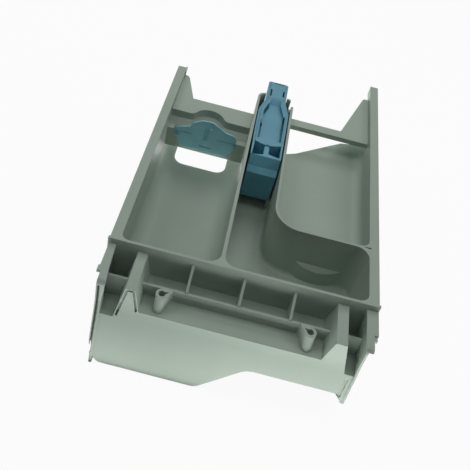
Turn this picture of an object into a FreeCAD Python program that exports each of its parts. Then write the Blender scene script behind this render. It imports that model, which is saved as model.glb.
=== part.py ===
import FreeCAD, Part
import math
import os

# Detergent dispenser drawer in millimetres: x runs across the drawer, y from
# front to rear with zero on the front of the cross wall, z up from the table.
width = 180.0
height = 79.0
right_arm_end = 260.5
left_arm_end = 214.0
skirt_reach = 44.5
sheet = 2.0
half = width / 2
end_half = half + 1.0

# Side walls and their flat top rims
wall_in = half - 7.0
wall_out = wall_in + sheet
rim_drop = 2.5
lip_drop = 6.5
lip_thick = 1.6

# Main compartment on the left and the softener channel beside it
floor_z = 33.0
divider_left = -17.0
divider_right = -14.5
channel_right = 13.0
housing_right = 15.0
channel_end = 205.0
trough_end = 165.0

# Curved wall between the softener pocket and the prewash compartment
pocket_depth = 50.0
curve_convex = 20.0
curve_concave = 9.5
divider_flare = 9.0

# Prewash compartment on the right
prewash_z = 57.0
prewash_tilt = 1.3
web_drop = 4.0

# Rear plates, the cross bar and the ears of the two arms
plate_z = height - 6.0
plate_front = 159.5
plate_back = 180.4
wave_middle = -51.2
wave_depth = 10.2
wave_crest = 13.2
wave_fillet = 5.0
ledge_z = height - 12.5
ledge_deep = 2.5
slope_deep = 5.3
slope_foot_z = height - 17.0
step_z = height - 21.0
panel_front = 151.7
panel_back = 154.0
post_z = height - 16.0
panel_foot_z = height - 37.6
post_foot_z = height - 34.2
bar_front = 179.0
bar_back = 188.0
bar_deep = 4.3

# Front: shelf, cross rib, brackets, cheeks and skirt
shelf_z = 53.0
outer_shelf_z = {-1: 44.0, 1: 46.0}
shelf_front = -32.0
rib_y = -17.0
rib_z = 63.0
gusset_places = (-33.0, 1.8, 36.0)
bracket_top_z = height - 6.0
bracket_skin = 0.8
bracket_groove = 1.5
# for each bracket: the x of its inner and outer top edge and how far each leg
# leans out for one millimetre of drop
bracket_legs = {-1: (-63.6, 0.187, -70.2, 0.186), 1: (64.5, 0.168, 71.8, 0.247)}
cheek_top_z = height - 4.5
cheek_front = -33.0
cheek_out = 88.4
cheek_step_y = -19.8
groove_deep = 4.0
skirt_half = 86.4
skirt_bend = 60.0
skirt_left_z = 2.0
skirt_right_z = 28.0
crease_deep = 0.6
boss_places = (-48.1, 49.8)
boss_y = -22.0
boss_top_z = 64.5
boss_bore = 2.25

# Outlet notch at the rear of the main compartment and the sliding flap over it
notch_left = -73.0
notch_right = -28.5
notch_front = 141.4
flap_left = -77.0
flap_right = -25.6
flap_foot_z = height - 33.3
flap_waist_z = height - 19.0
flap_front = 149.2
flap_back = 151.3
flap_crown = 1.2
flap_play = 0.4
lip_left = -73.6
lip_right = -26.8

# Siphon: the standing tube of the tray and the loose blue cap over it
tube_y = 160.0
tube_outer = 5.5
tube_inner = 3.7
tube_top_z = height - 12.0
tube_foot_z = 14.0
cap_x = -0.75
cap_front = 112.0
cap_back = 228.4
cap_foot_z = 43.0
cap_skin = 1.6
cap_play = 0.3
cap_body = 12.9
cap_nose = 11.9
nose_shift = 0.45
cap_neck = 8.8
hood_drop = 1.2
panel_drop = 3.4
slot_drop = 6.0
pocket_drop = 12.0
brow_front = 114.5
brow_low = height - 13.1
brow_fold = 118.8
brow_fold_z = height - 9.4
brow_back = 122.4

middle_y = (right_arm_end - skirt_reach) / 2


def block(x0, x1, y0, y1, z0, z1):
    return Part.makeBox(x1 - x0, y1 - y0, z1 - z0, FreeCAD.Vector(x0, y0, z0))


def polygon(points):
    return Part.Face(Part.makePolygon(points + [points[0]]))


def plan_prism(points, z0, z1):
    face = polygon([FreeCAD.Vector(x, y, z0) for x, y in points])
    return face.extrude(FreeCAD.Vector(0, 0, z1 - z0))


def front_prism(points, y0, y1):
    face = polygon([FreeCAD.Vector(x, y0, z) for x, z in points])
    return face.extrude(FreeCAD.Vector(0, y1 - y0, 0))


def side_prism(points, x0, x1):
    face = polygon([FreeCAD.Vector(x0, y, z) for y, z in points])
    return face.extrude(FreeCAD.Vector(x1 - x0, 0, 0))


def rounded_face(corners):
    # closed outline of (point, radius) corners, each rounded by a tangent arc
    count = len(corners)
    cuts = []
    for i in range(count):
        point, radius = corners[i]
        before = (corners[i - 1][0] - point).normalize()
        after = (corners[(i + 1) % count][0] - point).normalize()
        turn = before.getAngle(after)
        reach = radius / math.tan(turn / 2)
        inward = (before + after).normalize()
        top = point + inward * (radius / math.sin(turn / 2) - radius)
        cuts.append((point + before * reach, top, point + after * reach, radius))
    edges = []
    for i in range(count):
        start, top, end, radius = cuts[i]
        if radius > 0:
            edges.append(Part.Arc(start, top, end).toShape())
        following = cuts[(i + 1) % count][0]
        if end.distanceToPoint(following) > 0.01:
            edges.append(Part.makeLine(end, following))
    return Part.Face(Part.Wire(edges))


def rounded_plan(corners, z0, z1):
    face = rounded_face([(FreeCAD.Vector(x, y, z0), radius) for x, y, radius in corners])
    return face.extrude(FreeCAD.Vector(0, 0, z1 - z0))


def rounded_front(corners, y0, y1):
    face = rounded_face([(FreeCAD.Vector(x, y0, z), radius) for x, z, radius in corners])
    return face.extrude(FreeCAD.Vector(0, y1 - y0, 0))


def rounded_side(corners, x0, x1):
    face = rounded_face([(FreeCAD.Vector(x0, y, z), radius) for y, z, radius in corners])
    return face.extrude(FreeCAD.Vector(x1 - x0, 0, 0))


def main_tub(grow, top):
    # trough with round feet along both sides and the front, open at the rear
    x0 = -wall_in - grow
    x1 = divider_left + grow
    y0 = sheet - grow
    y1 = trough_end + (0 if grow > 0 else 1)
    z0 = floor_z - grow
    foot = 12.0 + grow
    section = [(x0, top, 0), (x0, z0, foot), (x1, z0, foot), (x1, top, 0)]
    profile = [(y0, top, 0), (y0, z0, 8.0 + grow), (y1, z0, 0), (y1, top, 0)]
    plan = [(x0, y0, 5.0 + grow), (x1, y0, divider_flare + grow), (x1, y1, 0), (x0, y1, 0)]
    trough = rounded_front(section, y0, y1)
    trough = trough.common(rounded_side(profile, x0, x1))
    return trough.common(rounded_plan(plan, z0, top))


def softener_tub(grow, top):
    # the channel and the pocket in front of it, joined by the S-shaped wall
    x0 = divider_right - grow
    x1 = channel_right + grow
    x2 = wall_in + grow
    y0 = sheet - grow
    y1 = pocket_depth + grow
    y2 = channel_end + grow
    plan = [
        (x0, y0, divider_flare + grow),
        (x2, y0, 6.5 + grow),
        (x2, y1, curve_concave + grow),
        (x1, y1, curve_convex - grow),
        (x1, y2, 5.0 + grow),
        (x0, y2, 5.0 + grow),
    ]
    z0 = floor_z - grow
    tub = rounded_plan(plan, z0, top)
    foot = [edge for edge in tub.Edges if abs(edge.CenterOfMass.z - z0) < 0.01]
    return tub.makeFillet(3.6 + grow, foot)


def wave_edges(y, z):
    # finger edge: a round crest between two hollow fillets that meet the straight edge
    rise = wave_crest - wave_depth + wave_fillet
    reach = math.sqrt((wave_crest + wave_fillet) ** 2 - rise ** 2)
    share = wave_crest / (wave_crest + wave_fillet)
    crest = FreeCAD.Vector(wave_middle, y + wave_depth, z)
    edges = []
    for side in (-1, 1):
        centre = FreeCAD.Vector(wave_middle + side * reach, y + wave_fillet, z)
        foot = centre - FreeCAD.Vector(0, wave_fillet, 0)
        meet = FreeCAD.Vector(wave_middle + side * reach * share, y + wave_fillet - rise * (1 - share), z)
        towards = ((foot - centre) + (meet - centre)).normalize()
        fillet = Part.Arc(foot, centre + towards * wave_fillet, meet).toShape()
        end = FreeCAD.Vector(-wall_in - 1 if side < 0 else divider_left + 1, y, z)
        edges.append([Part.makeLine(end, foot), fillet, meet])
    left, right = edges
    arch = Part.Arc(left[2], crest, right[2]).toShape()
    return [left[0], left[1], arch, right[1], right[0]]


def wave_wire(y, depth, z):
    # closed outline between the wavy edge at y and the same edge further back
    ends = []
    for x in (-wall_in - 1, divider_left + 1):
        ends.append(Part.makeLine(FreeCAD.Vector(x, y, z), FreeCAD.Vector(x, y + depth, z)))
    edges = wave_edges(y, z) + [ends[1]] + wave_edges(y + depth, z) + [ends[0]]
    return Part.Wire(Part.__sortEdges__(edges))


def wave_strip(shift_front, depth, z0, z1):
    face = Part.Face(wave_wire(plate_front + shift_front, depth, z0))
    return face.extrude(FreeCAD.Vector(0, 0, z1 - z0))


def wave_slope():
    # shell of the narrow ledge and the face that slopes forward and down from it
    top = wave_wire(plate_front - ledge_deep, ledge_deep + sheet, ledge_z)
    foot = wave_wire(plate_front - ledge_deep - slope_deep, ledge_deep + slope_deep + sheet, slope_foot_z)
    body = Part.makeLoft([top, foot], True, True)
    inner = body.copy()
    inner.translate(FreeCAD.Vector(0, 0.7 * sheet, -0.7 * sheet))
    return body.cut(inner)


def rear_plate():
    # plate with a wavy finger edge and, below it, the wavy ledge, its slope and the panel
    left = -wall_in - 1
    right = divider_left + 1
    reach = ledge_deep + slope_deep
    plate = wave_strip(0.0, plate_back - plate_front, plate_z - sheet, plate_z)
    plate = plate.cut(block(-half, half, plate_back, plate_back + 40, 0, height))
    apron = wave_strip(0.0, sheet, ledge_z - sheet, plate_z)
    riser = wave_strip(-reach, sheet, step_z - sheet, slope_foot_z)
    shelf = wave_strip(-reach - wave_depth, reach + wave_depth, step_z - sheet, step_z)
    shelf = shelf.cut(block(-half, half, 0, panel_front, 0, height))
    panel = block(left, right, panel_front, panel_back, panel_foot_z, step_z)
    ear = plan_prism(
        [
            (left, plate_back - 1),
            (-69.3, plate_back - 1),
            (-69.3, plate_back),
            (-78.0, 208.7),
            (-80.0, 211.5),
            (left, 211.8),
        ],
        plate_z - sheet,
        plate_z,
    )
    return plate.fuse([apron, wave_slope(), riser, shelf, panel, ear])


def rear_bar():
    bar = block(channel_right + 1, wall_in + 1, bar_front, bar_back, plate_z - bar_deep, plate_z)
    ear = plan_prism(
        [
            (59.0, bar_back - 0.5),
            (78.0, 245.0),
            (80.0, 246.5),
            (wall_in + 1, 246.5),
            (wall_in + 1, bar_back - 0.5),
        ],
        plate_z - sheet,
        plate_z,
    )
    return bar.fuse(ear)


def prewash_floor():
    # shelf of the prewash compartment: round feet at its sides, cut off aslant
    plan = [
        (channel_right + 1, pocket_depth + 1),
        (wall_in + 1, pocket_depth + 1),
        (wall_in + 1, 203.0),
        (65.0, 198.0),
        (27.0, 167.0),
        (channel_right + 1, 160.0),
    ]
    slab = plan_prism(plan, prewash_z - 6.5, prewash_z + 7.0)
    section = [
        (housing_right, height + 20, 0),
        (housing_right, prewash_z, 5.0),
        (wall_in, prewash_z, 7.0),
        (wall_in, height + 20, 0),
    ]
    underside = [
        (channel_right - 3, prewash_z - 20, 0),
        (channel_right - 3, prewash_z - sheet, 0),
        (wall_in + 3, prewash_z - sheet, 0),
        (wall_in + 3, prewash_z - 20, 0),
    ]
    hinge = FreeCAD.Vector(0, pocket_depth, prewash_z)
    for cutter in (rounded_front(section, 20, 240), rounded_front(underside, 20, 240)):
        cutter.rotate(hinge, FreeCAD.Vector(1, 0, 0), -prewash_tilt)
        slab = slab.cut(cutter)
    return slab


def side_walls():
    left = side_prism(
        [
            (0, 0),
            (178, 0),
            (190, 48),
            (204, 70),
            (left_arm_end, 71.5),
            (left_arm_end, height),
            (0, height),
        ],
        -wall_out,
        -wall_in,
    )
    right = side_prism(
        [
            (0, 0),
            (180, 0),
            (192, 48),
            (206, 69),
            (right_arm_end, 71.5),
            (right_arm_end, height),
            (0, height),
        ],
        wall_in,
        wall_out,
    )
    rims = [
        block(-half, -wall_in, 0, left_arm_end, height - rim_drop, height),
        block(-half, -half + lip_thick, 0, left_arm_end, height - lip_drop, height),
        block(wall_in, half, 0, right_arm_end, height - rim_drop, height),
        block(half - lip_thick, half, 0, right_arm_end, height - lip_drop, height),
    ]
    fin = block(-wall_in - 0.4, -wall_in + 0.8, left_arm_end - 6, left_arm_end + 1.5, height - 5, height)
    return left.fuse([right, fin] + rims)


def bracket_section(side, inset, inner_foot, outer_foot):
    # front view of one hump: flat top and two legs that lean out to their feet
    inner_x, inner_lean, outer_x, outer_lean = bracket_legs[side]
    inner_x += side * inset
    outer_x -= side * inset
    top_z = bracket_top_z - inset
    return [
        (inner_x - side * inner_lean * (bracket_top_z - inner_foot), inner_foot),
        (inner_x - side * inner_lean * inset, top_z),
        (outer_x + side * outer_lean * inset, top_z),
        (outer_x + side * outer_lean * (bracket_top_z - outer_foot), outer_foot),
    ]


def bracket(side):
    section = bracket_section(side, 0, shelf_z - 1, outer_shelf_z[side] - 1)
    return front_prism(section, shelf_front + 1.0, 1.0)


def bracket_hollow(side):
    low = outer_shelf_z[side] - 4
    return front_prism(bracket_section(side, bracket_skin, low, low), shelf_front + 2.6, 0.0)


def groove_ring(side):
    # thin gap between the hump's front edge and the plate that closes it
    low = outer_shelf_z[side]
    gap = bracket_section(side, bracket_skin, shelf_z, low)
    plate = bracket_section(side, bracket_skin + bracket_groove, shelf_z - 4, low - 4)
    ring = front_prism(gap, -60, shelf_front + 1.4).cut(front_prism(plate, -61, shelf_front + 2))
    return ring.cut(block(-90, 90, -62, shelf_front + 3, low - 5, low + 1.5))


def cheek_profile(x0, x1, foot):
    # side view of a cheek: round front corner at the top, then the bend of the skirt
    corners = [
        (1.0, cheek_top_z, 0),
        (cheek_front, cheek_top_z, 3.5),
        (cheek_front, shelf_z, skirt_bend),
    ]
    return rounded_side(corners + foot, x0, x1)


def left_cheek():
    # thick front edge with a deep groove in it, and a band on top that tapers inwards
    foot = [(-skirt_reach, 0.0, 0), (1.0, 0.0, 0)]
    face = front_prism(
        [
            (-cheek_out, cheek_top_z),
            (-cheek_out, 20.0),
            (-86.8, 9.0),
            (-skirt_half, 0.0),
            (-skirt_half + sheet, 0.0),
            (-skirt_half, 20.0),
            (-skirt_half, cheek_top_z),
        ],
        -60,
        2,
    )
    plate = cheek_profile(-cheek_out, -skirt_half + sheet, foot).common(face)
    edge = cheek_profile(-skirt_half - 0.1, -84.5, foot).common(block(-half, -80, -60, -26.0, 0, cheek_top_z))
    flange = front_prism(
        [(-82.8, cheek_top_z), (-85.4, 45.0), (-87.0, 45.0), (-87.0, cheek_top_z)],
        cheek_front,
        cheek_front + 1.8,
    )
    band = plan_prism(
        [
            (-85.2, 1.0),
            (-84.0, -21.0),
            (-82.6, cheek_front - 0.5),
            (-87.8, cheek_front - 0.5),
            (-88.6, -24.5),
            (-end_half, -24.5),
            (-end_half, cheek_step_y),
            (-half, cheek_step_y),
            (-half, 1.0),
        ],
        cheek_top_z - sheet,
        cheek_top_z,
    )
    round_front = cheek_profile(-end_half, -80.0, foot)
    whole = plate.fuse([edge, flange.common(round_front), band.common(round_front)])
    behind = round_front.copy()
    behind.translate(FreeCAD.Vector(0, groove_deep, 0))
    groove = block(-87.7, -86.1, -60, 0, 9.0, cheek_top_z - 4.0).cut(behind)
    return whole.cut(groove)


def right_cheek():
    # slightly leaning plate under a thin band that overhangs it, with a broader ear behind
    foot = [(-39.8, 21.0, 0), (-17.0, 0.0, 0), (1.0, 0.0, 0)]
    face = front_prism(
        [(83.8, cheek_top_z), (85.2, cheek_top_z), (86.5, 47.0), (86.5, 0.0), (85.1, 0.0), (85.1, 47.0)],
        -60,
        2,
    )
    plate = cheek_profile(80.0, 90.0, foot).common(face)
    band = plan_prism(
        [
            (83.2, 1.0),
            (83.2, cheek_front),
            (cheek_out, cheek_front),
            (cheek_out, cheek_step_y),
            (end_half, cheek_step_y),
            (end_half, 1.0),
        ],
        cheek_top_z - sheet,
        cheek_top_z,
    )
    nub = block(cheek_out - 1, end_half - 0.4, -23.0, cheek_step_y + 1, cheek_top_z - 3.4, cheek_top_z - 1.0)
    return plate.fuse([band.common(cheek_profile(80.0, end_half, foot)), nub])


def skirt():
    # elevation of the front apron, higher on the right than on the left
    outline = [
        (-skirt_half, outer_shelf_z[-1], 0),
        (-75.6, outer_shelf_z[-1], 0),
        (-70.2, bracket_top_z, 0),
        (-63.6, bracket_top_z, 0),
        (-59.8, shelf_z, 0),
        (61.1, shelf_z, 0),
        (64.5, bracket_top_z, 0),
        (71.8, bracket_top_z, 0),
        (78.5, outer_shelf_z[1], 0),
        (skirt_half, outer_shelf_z[1], 0),
        (skirt_half, 21.0, 0),
        (83.5, 21.0, 1.0),
        (81.0, skirt_right_z, 2.0),
        (18.0, skirt_right_z, 14.0),
        (-12.0, skirt_left_z, 10.0),
        (-83.0, skirt_left_z, 6.0),
        (-84.2, 7.0, 0),
        (-85.0, 0.0, 0),
        (-skirt_half, 0.0, 0),
    ]
    slab = rounded_side(
        [
            (shelf_front + 1.8, height, 0),
            (shelf_front, height, 0),
            (shelf_front, shelf_z, skirt_bend),
            (-skirt_reach, 0, 0),
            (-skirt_reach + 1.9, 0, 0),
            (shelf_front + 1.8, shelf_z - 0.4, skirt_bend - 1.8),
        ],
        -half,
        half,
    )
    apron = rounded_front(outline, -60, -20).common(slab)
    behind = slab.copy()
    behind.translate(FreeCAD.Vector(0, crease_deep, 0))
    crease = plan_prism([(80.4, -60), (82.6, -60), (82.6, -20), (80.4, -20)], 26.0, 42.0)
    return apron.cut(crease.cut(behind))


def boss_outline(x, side, y, radius, z):
    # a circle drawn out to the rib: round in front and flat where it meets it
    centre = FreeCAD.Vector(x, y, z)
    back = FreeCAD.Vector(x + side * 1.0, rib_y + 0.4, z)
    corner = FreeCAD.Vector(x + side * 7.4, rib_y + 0.4, z)

    def touch(point, turn):
        away = point - centre
        angle = math.atan2(away.y, away.x) + turn * math.acos(radius / away.Length)
        return centre + FreeCAD.Vector(math.cos(angle), math.sin(angle), 0) * radius

    first = touch(back, side)
    last = touch(corner, -side)
    middle = (first - centre + last - centre).normalize() * radius
    far = centre - middle if middle.x * side > 0 else centre + middle
    arc = Part.Arc(first, far, last).toShape()
    lines = [Part.makeLine(last, corner), Part.makeLine(corner, back), Part.makeLine(back, first)]
    return Part.Wire([arc] + lines)


def boss(x, side):
    # screw tube whose front leans out towards its foot
    top = boss_outline(x, side, boss_y, 4.0, boss_top_z)
    foot = boss_outline(x - side * 0.4, side, boss_y - 5.2, 3.4, shelf_z - 1)
    return Part.makeLoft([top, foot], True, True)


def boss_hole(x, side):
    bore = Part.makeCylinder(boss_bore, 40, FreeCAD.Vector(x, boss_y, shelf_z - 6))
    relief = plan_prism(
        [
            (x + side * 1.2, boss_y - 0.9),
            (x + side * 4.4, boss_y + 2.3),
            (x + side * 1.2, boss_y + 1.6),
        ],
        shelf_z - 6,
        height,
    )
    return bore.fuse(relief)


def front_box():
    side = skirt_half - 1.0
    left_side = cheek_out - 1.0
    inner = block(-61.0, 62.4, shelf_front + 1, 1, shelf_z - sheet, shelf_z)
    left = plan_prism(
        [
            (-side, shelf_front - 1),
            (-74.2, shelf_front - 1),
            (-74.2, 1.0),
            (-left_side, 1.0),
            (-left_side, shelf_front + 1),
            (-side, shelf_front + 1),
        ],
        outer_shelf_z[-1] - sheet,
        outer_shelf_z[-1],
    )
    right = block(76.8, side, shelf_front - 1, 1, outer_shelf_z[1] - sheet, outer_shelf_z[1])
    rib = block(-left_side, side, rib_y, rib_y + 1.8, shelf_z - 1, rib_z)
    left_end = block(-left_side, -71.0, rib_y, rib_y + 1.8, outer_shelf_z[-1] - 1, rib_z)
    right_end = block(73.0, side, rib_y, rib_y + 1.8, outer_shelf_z[1] - 1, rib_z)
    gussets = [
        side_prism(
            [(0.5, shelf_z - 1), (rib_y + 1, shelf_z - 1), (rib_y + 1, rib_z + 1), (0.5, height - 5)],
            x - 0.9,
            x + 0.9,
        )
        for x in gusset_places
    ]
    return inner.fuse([left, right, rib, left_end, right_end] + gussets)


def cross_wall():
    # the wall goes as low as the compartments, and past them to both cheeks
    wall = block(-end_half, end_half, 0, sheet, floor_z - sheet, height)
    ends = [
        block(-cheek_out, -wall_in, 0, sheet, 0, height - 1),
        block(wall_in, cheek_out, 0, sheet, 0, height - 1),
    ]
    return wall.fuse(ends)


def half_moon():
    # round-fronted step on the face of the curved wall, with a top that slopes forward
    radius = 43.0
    rise = 3.5
    top = height - 30.0
    base = floor_z - 1
    disc = Part.makeCylinder(radius, height, FreeCAD.Vector(54.6, pocket_depth + radius - rise, base))
    front = pocket_depth - rise - 1
    back = pocket_depth + 1.0
    slope = [(back, base), (front, base), (front, top - rise - 1), (back, top + 1.0)]
    return disc.common(side_prism(slope, 0, half))


def rim_webs():
    # flat webs at rim level that fill the corners between round and straight walls
    low = height - rim_drop
    corner = rounded_plan(
        [
            (60.0, pocket_depth + sheet, 0),
            (60.0, pocket_depth - 20.0, 0),
            (wall_in + 0.5, pocket_depth - 20.0, 0),
            (wall_in + 0.5, pocket_depth + 40.0, 0),
            (wall_in, pocket_depth + 40.0, 0),
            (wall_in, pocket_depth + sheet, 6.0),
        ],
        low,
        height,
    )
    return [
        block(divider_left - 11.0, divider_right + 11.0, 1.0, 12.0, low, height),
        block(wall_in - 10.0, wall_in + 0.5, 1.0, 12.0, low, height),
        block(-wall_in - 0.5, -wall_in + 6.0, 1.0, 8.0, low, height),
        corner,
    ]


def web_slit():
    return plan_prism([(78.8, 51.3), (84.6, 51.9), (83.6, 50.3)], height - web_drop, height + 1)


def outlet_notch():
    return rounded_plan(
        [
            (notch_left, trough_end + 1, 0),
            (notch_left, notch_front, 9.0),
            (notch_right, notch_front, 9.0),
            (notch_right, trough_end + 1, 0),
        ],
        floor_z - 10,
        floor_z + 1,
    )


def flap_guides():
    # upright channels of the panel that hold both edges of the flap
    front = flap_front - flap_play - 1.6
    lip_z = post_z - 7.0
    posts = [
        block(-wall_in - 1, flap_left - flap_play, front, panel_front + 1, post_foot_z, post_z),
        block(flap_right + flap_play, divider_left + 1, front, panel_front + 1, post_foot_z, post_z),
        block(-wall_in - 1, lip_left, front, flap_front - flap_play, post_foot_z, lip_z),
        block(lip_right, divider_left + 1, front, flap_front - flap_play, post_foot_z, lip_z),
    ]
    return posts[0].fuse(posts[1:])


def siphon_tube():
    tube = Part.makeCylinder(tube_outer, tube_top_z - tube_foot_z, FreeCAD.Vector(cap_x, tube_y, tube_foot_z))
    rests = []
    rest_z = cap_foot_z - cap_play
    for y in (112.0, 196.0):
        rests.append(block(divider_right - 1, divider_right + 3.0, y, y + 4, floor_z - 1, rest_z))
        rests.append(block(channel_right - 3.0, channel_right + 1, y, y + 4, floor_z - 1, rest_z))
    return tube.fuse(rests)


def tube_bore():
    return Part.makeCylinder(tube_inner, height, FreeCAD.Vector(cap_x, tube_y, 0))


def drawer_tray():
    outer = [softener_tub(sheet, height), cross_wall(), side_walls(), prewash_floor()]
    shell = main_tub(sheet, height).fuse(outer + rim_webs())
    shell = shell.cut([main_tub(0, height + 1), softener_tub(0, height + 1)])
    housing_end = block(cap_x - cap_neck - 0.6, cap_x + cap_neck + 0.6, 200, 215, height - 14, height + 1)
    right_end = block(channel_right - 1, housing_right + 1, 196, 215, height - 9, height + 1)
    shell = shell.cut([housing_end, right_end])
    front = front_box().fuse([bracket(-1), bracket(1), skirt()])
    front = front.cut([bracket_hollow(-1), bracket_hollow(1), groove_ring(-1)])
    shell = shell.fuse([
        rear_plate(),
        rear_bar(),
        flap_guides(),
        half_moon(),
        siphon_tube(),
        front,
        left_cheek(),
        right_cheek(),
        boss(boss_places[0], 1),
        boss(boss_places[1], -1),
    ])
    shell = shell.cut([
        outlet_notch(),
        web_slit(),
        tube_bore(),
        boss_hole(boss_places[0], 1),
        boss_hole(boss_places[1], -1),
    ])
    return shell.removeSplitter()


def flap_cuts():
    # waist grooves, end pockets, the upright dish and the slot near the foot
    near = flap_front - 1
    waist = flap_waist_z
    deep = flap_front + 1.2
    return [
        block(-75.7, -62.3, near, flap_front + 0.8, waist, waist + 1.5),
        block(-40.9, -25.9, near, flap_front + 0.8, waist, waist + 1.5),
        block(-76.0, lip_left + 0.4, near, deep, waist - 4.4, waist + 1.0),
        block(lip_right - 0.7, flap_right + 0.6, near, deep, waist - 2.5, waist + 1.5),
        block(-54.6, -44.2, near, deep, flap_foot_z + 4.1, flap_foot_z + 5.4),
        rounded_front(
            [
                (-52.2, height - 22.5, 1.2),
                (-49.0, height - 22.5, 1.2),
                (-49.0, height - 10.0, 1.2),
                (-52.2, height - 10.0, 1.2),
            ],
            near,
            flap_front + 0.6,
        ),
    ]


def dosing_flap():
    # shutter blade with an arched, thinner crown and a finger ridge
    blade = rounded_front(
        [
            (flap_left, height - 15.6, 0.8),
            (flap_left, height - 22.5, 1.5),
            (-74.6, height - 24.5, 1.5),
            (-71.0, flap_foot_z, 1.5),
            (-33.0, flap_foot_z, 3.0),
            (flap_right, height - 25.5, 3.5),
            (flap_right, height - 13.0, 1.0),
            (-28.0, height - 10.6, 1.5),
            (-35.0, height - 9.4, 5.0),
            (-46.8, height - 2.6, 8.0),
            (-55.5, height - 3.0, 8.0),
            (-63.0, height - 7.6, 1.5),
            (-64.2, height - 11.3, 1.5),
        ],
        flap_front,
        flap_back,
    )
    crown_back = flap_front + flap_crown
    relief = block(flap_left - 1, flap_right + 1, crown_back, flap_back + 1, height - 17.0, height)
    ridge = rounded_front(
        [
            (-48.6, height - 18.6, 0.8),
            (-46.2, height - 18.6, 0.8),
            (-46.2, height - 8.7, 1.0),
            (-48.6, height - 8.7, 1.0),
        ],
        flap_front - 1.2,
        flap_front + 0.3,
    )
    return blade.cut(flap_cuts() + [relief]).fuse(ridge).removeSplitter()


def cap_outline(inset):
    # bottle shape in plan: narrow neck at the rear, shoulders, tapering body
    body = cap_body - inset
    nose = cap_nose - inset
    neck = cap_neck - inset
    return [
        (cap_x + nose_shift - nose, cap_front + inset, 1.5),
        (cap_x + nose_shift + nose, cap_front + inset, 1.5),
        (cap_x + body, 160.0, 40.0),
        (cap_x + body, 184.0, 8.0),
        (cap_x + neck, 200.0, 8.0),
        (cap_x + neck, cap_back - inset, 2.0),
        (cap_x - neck, cap_back - inset, 2.0),
        (cap_x - neck, 200.0, 8.0),
        (cap_x - body, 184.0, 8.0),
        (cap_x - body, 160.0, 40.0),
    ]


def bottle_outline(inset, bottom):
    # raised bottle on the lid; its bottom edge has two shallow bulges
    body = cap_body - inset
    neck = cap_neck - inset
    return [
        (cap_x - body, bottom + 2.6, 0.8),
        (cap_x - 6.0, bottom + 0.4, 8.0),
        (cap_x - 1.6, bottom - 0.6, 2.0),
        (cap_x, bottom + 0.8, 0.4),
        (cap_x + 1.6, bottom - 0.6, 2.0),
        (cap_x + 6.0, bottom + 0.4, 8.0),
        (cap_x + body, bottom + 2.6, 0.8),
        (cap_x + body, 183.0, 8.0),
        (cap_x + neck, 199.0, 8.0),
        (cap_x + neck, cap_back - inset, 1.5),
        (cap_x - neck, cap_back - inset, 1.5),
        (cap_x - neck, 199.0, 8.0),
        (cap_x - body, 183.0, 8.0),
    ]


def cap_side():
    # side view of the cap: flat lid, folded brow, deep hood, shallow neck
    return [
        (cap_front - 0.3, cap_foot_z),
        (brow_front, brow_low),
        (brow_fold, brow_fold_z),
        (brow_back, height - hood_drop),
        (cap_back + 1, height - hood_drop),
        (cap_back + 1, height - 11.0),
        (192.0, height - 13.0),
        (192.0, cap_foot_z),
    ]


def cap_inside():
    # side view of the hollow under the hood
    roof = height - slot_drop - cap_skin
    return [
        (cap_front + cap_skin, cap_foot_z - 1),
        (brow_front + cap_skin, height - pocket_drop - 2 * cap_skin),
        (142.0, height - pocket_drop - cap_skin),
        (146.0, roof),
        (192.0 - cap_skin, roof),
        (192.0 - cap_skin, cap_foot_z - 1),
    ]


def cap_panel():
    # sunk panel of the bottle, rising to the pad on the neck
    inset = cap_body - 8.6
    plan = bottle_outline(inset, 141.0)
    sunk = rounded_plan(plan[:7] + [
        (cap_x + 8.6, 180.0, 8.0),
        (cap_x + 4.6, 194.0, 4.0),
        (cap_x + 4.6, 202.0, 0.5),
        (cap_x - 4.6, 202.0, 0.5),
        (cap_x - 4.6, 194.0, 4.0),
        (cap_x - 8.6, 180.0, 8.0),
    ], height - 5, height + 1)
    floor_line = side_prism(
        [
            (130, height - panel_drop),
            (195.4, height - panel_drop),
            (200.6, height - 0.2),
            (210, height - 0.2),
            (210, height + 2),
            (130, height + 2),
        ],
        -half,
        half,
    )
    return sunk.common(floor_line)


def cap_slots():
    # narrow deep slots along the panel, on the shoulder, on the neck and at the end
    low = height - slot_drop
    plans = [
        [(-9.5, 142.5), (-7.8, 142.5), (-7.6, 167.5), (-9.2, 167.5)],
        [(8.5, 142.5), (10.1, 142.5), (10.1, 178.0), (8.7, 178.0)],
        [(-8.5, 181.5), (-7.1, 180.0), (-4.4, 192.6), (-5.7, 192.6)],
        [(-6.0, 204.6), (-4.7, 204.6), (-4.7, 215.0), (-6.0, 215.0)],
        [(4.9, 207.0), (6.3, 207.0), (6.6, 215.6), (4.9, 215.6)],
        [(-3.6, 224.6), (4.9, 224.6), (4.9, 225.7), (-3.6, 225.7)],
    ]
    return [plan_prism([(cap_x + x, y) for x, y in plan], low, height + 1) for plan in plans]


def cap_pockets():
    # two deep pockets in front of the bottle, with a rib left between them
    low = height - pocket_drop
    plans = [
        [(-10.8, 122.2), (-1.9, 124.6), (-1.9, 140.0), (-10.3, 140.0)],
        [(2.0, 126.4), (11.3, 124.2), (11.0, 140.0), (2.0, 140.0)],
    ]
    bottle = rounded_plan(bottle_outline(cap_body - 10.6, 136.0), low - 1, height)
    return [plan_prism([(cap_x + x, y) for x, y in plan], low, height + 1).cut(bottle) for plan in plans]


def siphon_cap():
    hood = rounded_plan(cap_outline(0), cap_foot_z, height).common(side_prism(cap_side(), -half, half))
    bottle = rounded_plan(bottle_outline(cap_body - 10.6, 136.0), height - 4.0, height)
    hollow = rounded_plan(cap_outline(cap_skin), cap_foot_z - 1, height)
    hollow = hollow.common(side_prism(cap_inside(), -half, half))
    solid = hood.cut(cap_pockets()).fuse(bottle)
    return solid.cut([hollow, cap_panel()] + cap_slots()).removeSplitter()


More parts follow.
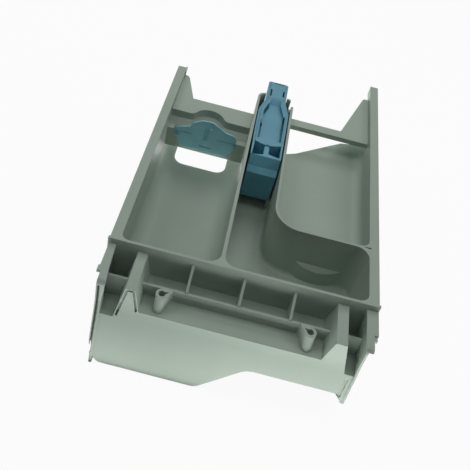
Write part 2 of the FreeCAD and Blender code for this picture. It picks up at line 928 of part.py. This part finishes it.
def export(name, shape):
    shape.translate(FreeCAD.Vector(0, -middle_y, 0))
    box = shape.BoundBox
    print(name, shape.isValid(), len(shape.Solids), round(shape.Volume, 1))
    print("  ", [round(v, 2) for v in (box.XMin, box.XMax, box.YMin, box.YMax, box.ZMin, box.ZMax)])
    shape.exportStep("parts/" + name + ".step")


os.makedirs("parts", exist_ok=True)
export("drawer_tray", drawer_tray())
export("dosing_flap", dosing_flap())
export("siphon_cap", siphon_cap())
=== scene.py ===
import math

import bpy
from mathutils import Matrix, Vector

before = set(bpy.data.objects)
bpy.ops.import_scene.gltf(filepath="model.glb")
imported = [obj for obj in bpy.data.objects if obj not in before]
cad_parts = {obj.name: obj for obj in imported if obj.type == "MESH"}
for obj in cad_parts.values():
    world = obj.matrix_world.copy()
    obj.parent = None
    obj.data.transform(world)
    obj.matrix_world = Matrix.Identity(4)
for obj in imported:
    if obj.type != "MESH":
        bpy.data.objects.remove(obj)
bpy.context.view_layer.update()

# Detergent dispenser drawer: the grey tray, the blue siphon cap and the dosing
# flap, of the cap's blue plastic painted paler as painted light. Everything is in metres, in the frame of
# the imported part.
mm = 0.001
white = (1.0, 1.0, 1.0, 1.0)
scene = bpy.context.scene


class Val:
    # a socket that can be used in Python expressions; each operation adds its Math node
    def __init__(self, shade, socket):
        self.shade = shade
        self.socket = socket

    def work(self, kind, first, second):
        return self.shade.add("ShaderNodeMath", {"operation": kind}, {0: first, 1: second})

    def __add__(self, other):
        return self.work("ADD", self, other)

    def __radd__(self, other):
        return self.work("ADD", other, self)

    def __sub__(self, other):
        return self.work("SUBTRACT", self, other)

    def __rsub__(self, other):
        return self.work("SUBTRACT", other, self)

    def __mul__(self, other):
        return self.work("MULTIPLY", self, other)

    def __rmul__(self, other):
        return self.work("MULTIPLY", other, self)

    def larger(self, other):
        return self.work("MAXIMUM", self, other)


class Shade:
    # the nodes of one owner, which is a material or the world
    def __init__(self, owner, outputKind):
        owner.use_nodes = True
        self.owner = owner
        self.tree = owner.node_tree
        self.tree.nodes.clear()
        self.output = self.tree.nodes.new(outputKind)

    def add(self, kind, settings, inputs, out=0):
        # a node of that type: its settings first, then the values or links of its sockets
        node = self.tree.nodes.new(kind)
        for key, value in settings.items():
            setattr(node, key, value)
        for key, value in inputs.items():
            if isinstance(value, Val):
                self.tree.links.new(value.socket, node.inputs[key])
            else:
                node.inputs[key].default_value = value
        return Val(self, node.outputs[out])

    def noise(self, where, scale, detail=2.0, rough=0.5):
        sockets = {"Vector": where, "Scale": scale, "Detail": detail, "Roughness": rough}
        return self.add("ShaderNodeTexNoise", {}, sockets)

    def ramp(self, fac, limits):
        # 0 below the first limit, 1 above the second and smooth between
        low, high = limits
        sockets = {"Value": fac, "From Min": low, "From Max": high, "To Min": 0.0, "To Max": 1.0}
        return self.add("ShaderNodeMapRange", {"interpolation_type": "SMOOTHSTEP"}, sockets)

    def blend(self, fac, first, second):
        # a Mix node has its two colours in sockets 6 and 7, and the result in output 2
        return self.add("ShaderNodeMix", {"data_type": "RGBA"}, {"Factor": fac, 6: first, 7: second}, 2)

    def bump(self, height, strength, depth, normal):
        sockets = {"Strength": strength, "Distance": depth, "Height": height, "Normal": normal}
        return self.add("ShaderNodeBump", {}, sockets)

    def finish(self, surface):
        self.tree.links.new(surface.socket, self.output.inputs["Surface"])
        return self.owner


def newShade(name):
    return Shade(bpy.data.materials.new(name), "ShaderNodeOutputMaterial")


def colour(red, green, blue):
    # a screen colour of 0 to 255 as the linear colour that a shader takes, by the sRGB curve
    levels = [value / 255 for value in (red, green, blue)]
    return tuple(((v + 0.055) / 1.055) ** 2.4 if v > 0.04045 else v / 12.92 for v in levels) + (1.0,)


def plastic(name, look):
    # satin moulded plastic: clouded colour, fine specks, a grained skin and soft edges
    shade = newShade(name)
    place = shade.add("ShaderNodeTexCoord", {}, {}, "Object")
    along = shade.add("ShaderNodeMapping", {}, {"Vector": place, "Scale": look["flowStretch"]})
    cloud = shade.noise(place, look["cloudScale"], look["cloudDetail"])
    speck = shade.noise(place, look["speckScale"], look["speckDetail"])
    grain = shade.noise(place, look["grainScale"], rough=look["grainRough"])
    flow = shade.noise(along, look["flowScale"])
    tone = shade.blend(shade.ramp(cloud, look["cloudLimits"]), look["deep"], look["base"])
    specks = shade.ramp(speck, look["speckLimits"]) * look["speckShare"]
    tone = shade.blend(specks, tone, look["speck"])
    edge = shade.add("ShaderNodeBevel", {"samples": look["edgeSamples"]}, {"Radius": look["edge"]})
    wave = shade.bump(flow, look["flowStrength"], look["flowDepth"], edge)
    skin = shade.bump(grain, look["grainStrength"], look["grainDepth"], wave)
    middle = 0.5  # the level about which a noise swings
    polish = look["rough"] + (flow - middle) * look["roughSwing"] + (grain - middle) * look["roughGrain"]
    fixed = {"IOR": look["ior"], "Specular IOR Level": look["gloss"]}
    varied = {"Base Color": tone, "Roughness": polish, "Normal": skin}
    return shade.finish(shade.add("ShaderNodeBsdfPrincipled", {}, {**fixed, **varied}))


greyLook = {
    "base": colour(163, 177, 165),
    "deep": colour(158, 172, 160),
    "cloudScale": 14.0,
    "cloudDetail": 3.0,
    "cloudLimits": (0.35, 0.65),
    "speck": colour(142, 158, 145),
    "speckShare": 0.35,
    "speckScale": 900.0,
    "speckDetail": 1.0,
    "speckLimits": (0.66, 0.78),
    "grainScale": 2600.0,
    "grainRough": 0.6,
    "grainStrength": 0.3,
    "grainDepth": 0.05 * mm,
    "flowScale": 30.0,
    "flowStretch": (1.0, 0.3, 1.0),
    "flowStrength": 0.25,
    "flowDepth": 0.3 * mm,
    "rough": 0.45,
    "roughSwing": 0.14,
    "roughGrain": 0.1,
    "ior": 1.46,
    "gloss": 0.2,
    "edge": 0.45 * mm,
    "edgeSamples": 8,
}

capLook = {
    **greyLook,
    "base": colour(98, 158, 178),
    "deep": colour(93, 151, 172),
    "cloudScale": 45.0,
    "speck": colour(92, 146, 170),
    "flowScale": 70.0,
    "rough": 0.36,
    "gloss": 0.22,
    "edge": 0.4 * mm,
}

# the flap is the cap's plastic with its colours painted paler: painted light standing in for the light
# that falls short on it
flapPaintedLightLook = {
    **capLook,
    "base": colour(146, 203, 216),
    "deep": colour(137, 194, 207),
    "flowStretch": (1.0, 1.0, 0.4),
}


def dress(node, material):
    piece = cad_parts[node]
    piece.data.materials.clear()
    piece.data.materials.append(material)


dress("drawer_tray", plastic("greyPlastic", greyLook))
dress("siphon_cap", plastic("bluePlastic", capLook))
dress("dosing_flap", plastic("bluePlasticWithPaintedLight", flapPaintedLightLook))
print("stage: materials")


def seenRay(shade):
    # 1 for what the camera sees straight, in a gloss or through glass
    rays = shade.tree.nodes.new("ShaderNodeLightPath")
    names = ("Is Camera Ray", "Is Glossy Ray", "Is Transmission Ray")
    straight, glossy, through = [Val(shade, rays.outputs[name]) for name in names]
    return straight.larger(glossy).larger(through)


floorLook = {
    "size": 16.0,
    "tone": colour(236, 238, 236),
    "glow": 0.94,  # the share of white in what is seen of the floor
}


def makeFloor():
    half = floorLook["size"] / 2
    mesh = bpy.data.meshes.new("floor")
    corners = [(-half, -half, 0), (half, -half, 0), (half, half, 0), (-half, half, 0)]
    mesh.from_pydata(corners, [], [(0, 1, 2, 3)])
    floor = bpy.data.objects.new("floor", mesh)
    scene.collection.objects.link(floor)
    shade = newShade("floorPaper")
    paper = shade.add("ShaderNodeBsdfDiffuse", {}, {"Color": floorLook["tone"]})
    light = shade.add("ShaderNodeEmission", {}, {"Color": white, "Strength": 1.0})
    fac = seenRay(shade) * floorLook["glow"]
    mesh.materials.append(shade.finish(shade.add("ShaderNodeMixShader", {}, {0: fac, 1: paper, 2: light})))


worldLook = {
    "tone": (0.93, 1.0, 0.95, 1.0),
    "strength": 0.02,  # of the light that falls on the object
    "seen": 0.96,  # of the white that is seen past the floor
}


def makeWorld():
    shade = Shade(bpy.data.worlds.new("studio"), "ShaderNodeOutputWorld")
    soft = {"Color": worldLook["tone"], "Strength": worldLook["strength"]}
    seen = {"Color": white, "Strength": worldLook["seen"]}
    softLight = shade.add("ShaderNodeBackground", {}, soft)
    seenLight = shade.add("ShaderNodeBackground", {}, seen)
    both = shade.add("ShaderNodeMixShader", {}, {0: seenRay(shade), 1: softLight, 2: seenLight})
    scene.world = shade.finish(both)


# these lie just above the floor and shine straight up, as a lit table would
tableRise = 1 * mm
tableLamps = {
    "nearLeft": {"at": (-0.06, -0.178), "size": (0.12, 0.045), "watts": 0.04},
    "nearRight": {"at": (0.07, -0.178), "size": (0.14, 0.045), "watts": 0.06},
    "frontLeft": {"at": (-0.1, -0.25), "size": (0.2, 0.1), "watts": 0.09},
    "frontRight": {"at": (0.125, -0.25), "size": (0.25, 0.1), "watts": 0.265},
    "underRear": {"at": (0, 0.11), "size": (0.17, 0.12), "watts": 0.15},
    "underOutlet": {"at": (-0.051, 0.04), "size": (0.047, 0.02), "watts": 0.03},
    "tableRight": {"at": (0.25, 0), "size": (0.3, 0.6), "watts": 0.2},
    "tableRear": {"at": (0, 0.335), "size": (0.6, 0.33), "watts": 0.4},
}

# these hang round the object and shine at their aim
hungLamps = {
    "topOver": {"at": (0, 0.05, 1.2), "aim": (0, 0.05, 0), "size": (0.5, 0.5), "watts": 1.6},
    "topRear": {"at": (0, 0.8, 1.0), "aim": (0, 0, 0), "size": (0.6, 0.6), "watts": 3.2},
    "topFront": {"at": (0, -0.8, 1.0), "aim": (0, 0, 0), "size": (0.6, 0.6), "watts": 0.7},
    "topLeft": {"at": (-0.8, 0, 1.0), "aim": (0, 0, 0), "size": (0.6, 0.6), "watts": 2.8},
    "topRight": {"at": (0.8, 0, 1.0), "aim": (0, 0, 0), "size": (0.6, 0.6), "watts": 1.9},
    "highRight": {"at": (0.9, -0.5, 0.6), "aim": (0, 0, 0.04), "size": (0.5, 0.5), "watts": 0.95},
}


def makeLamp(name, spec, place, aim):
    lamp = bpy.data.lights.new(name, "AREA")
    lamp.shape = "RECTANGLE"
    lamp.energy = spec["watts"]
    lamp.size, lamp.size_y = spec["size"]
    holder = bpy.data.objects.new(name, lamp)
    scene.collection.objects.link(holder)
    away = Vector(aim) - Vector(place)
    holder.location = place
    holder.rotation_mode = "QUATERNION"
    holder.rotation_quaternion = away.to_track_quat("-Z", "Y")
    holder.visible_camera = False


def makeLamps():
    for name, spec in tableLamps.items():
        x, y = spec["at"]
        makeLamp(name, spec, (x, y, tableRise), (x, y, 1.0))
    for name, spec in hungLamps.items():
        makeLamp(name, spec, spec["at"], spec["aim"])


view = {
    "place": (-0.03155, -0.38524, 0.39398),
    "tilt": 45.652,
    "roll": 14.573,
    "sensor": 36.0,
    "lens": 49.79,
    "shift": (0.0618, -0.0161),
    "near": 0.01,
}


def makeCamera():
    # looks along +Y and down by the tilt, then turns about its own axis by the roll
    data = bpy.data.cameras.new("camera")
    data.sensor_width = view["sensor"]
    data.lens = view["lens"]
    data.shift_x, data.shift_y = view["shift"]
    data.clip_start = view["near"]
    camera = bpy.data.objects.new("camera", data)
    scene.collection.objects.link(camera)
    fromDown = math.radians(90.0 - view["tilt"])
    turn = Matrix.Rotation(fromDown, 4, "X") @ Matrix.Rotation(math.radians(view["roll"]), 4, "Z")
    camera.matrix_world = Matrix.Translation(view["place"]) @ turn
    scene.camera = camera


makeFloor()
makeWorld()
makeLamps()
makeCamera()
scene.view_settings.view_transform = "Standard"
print("stage: floor, light and camera")
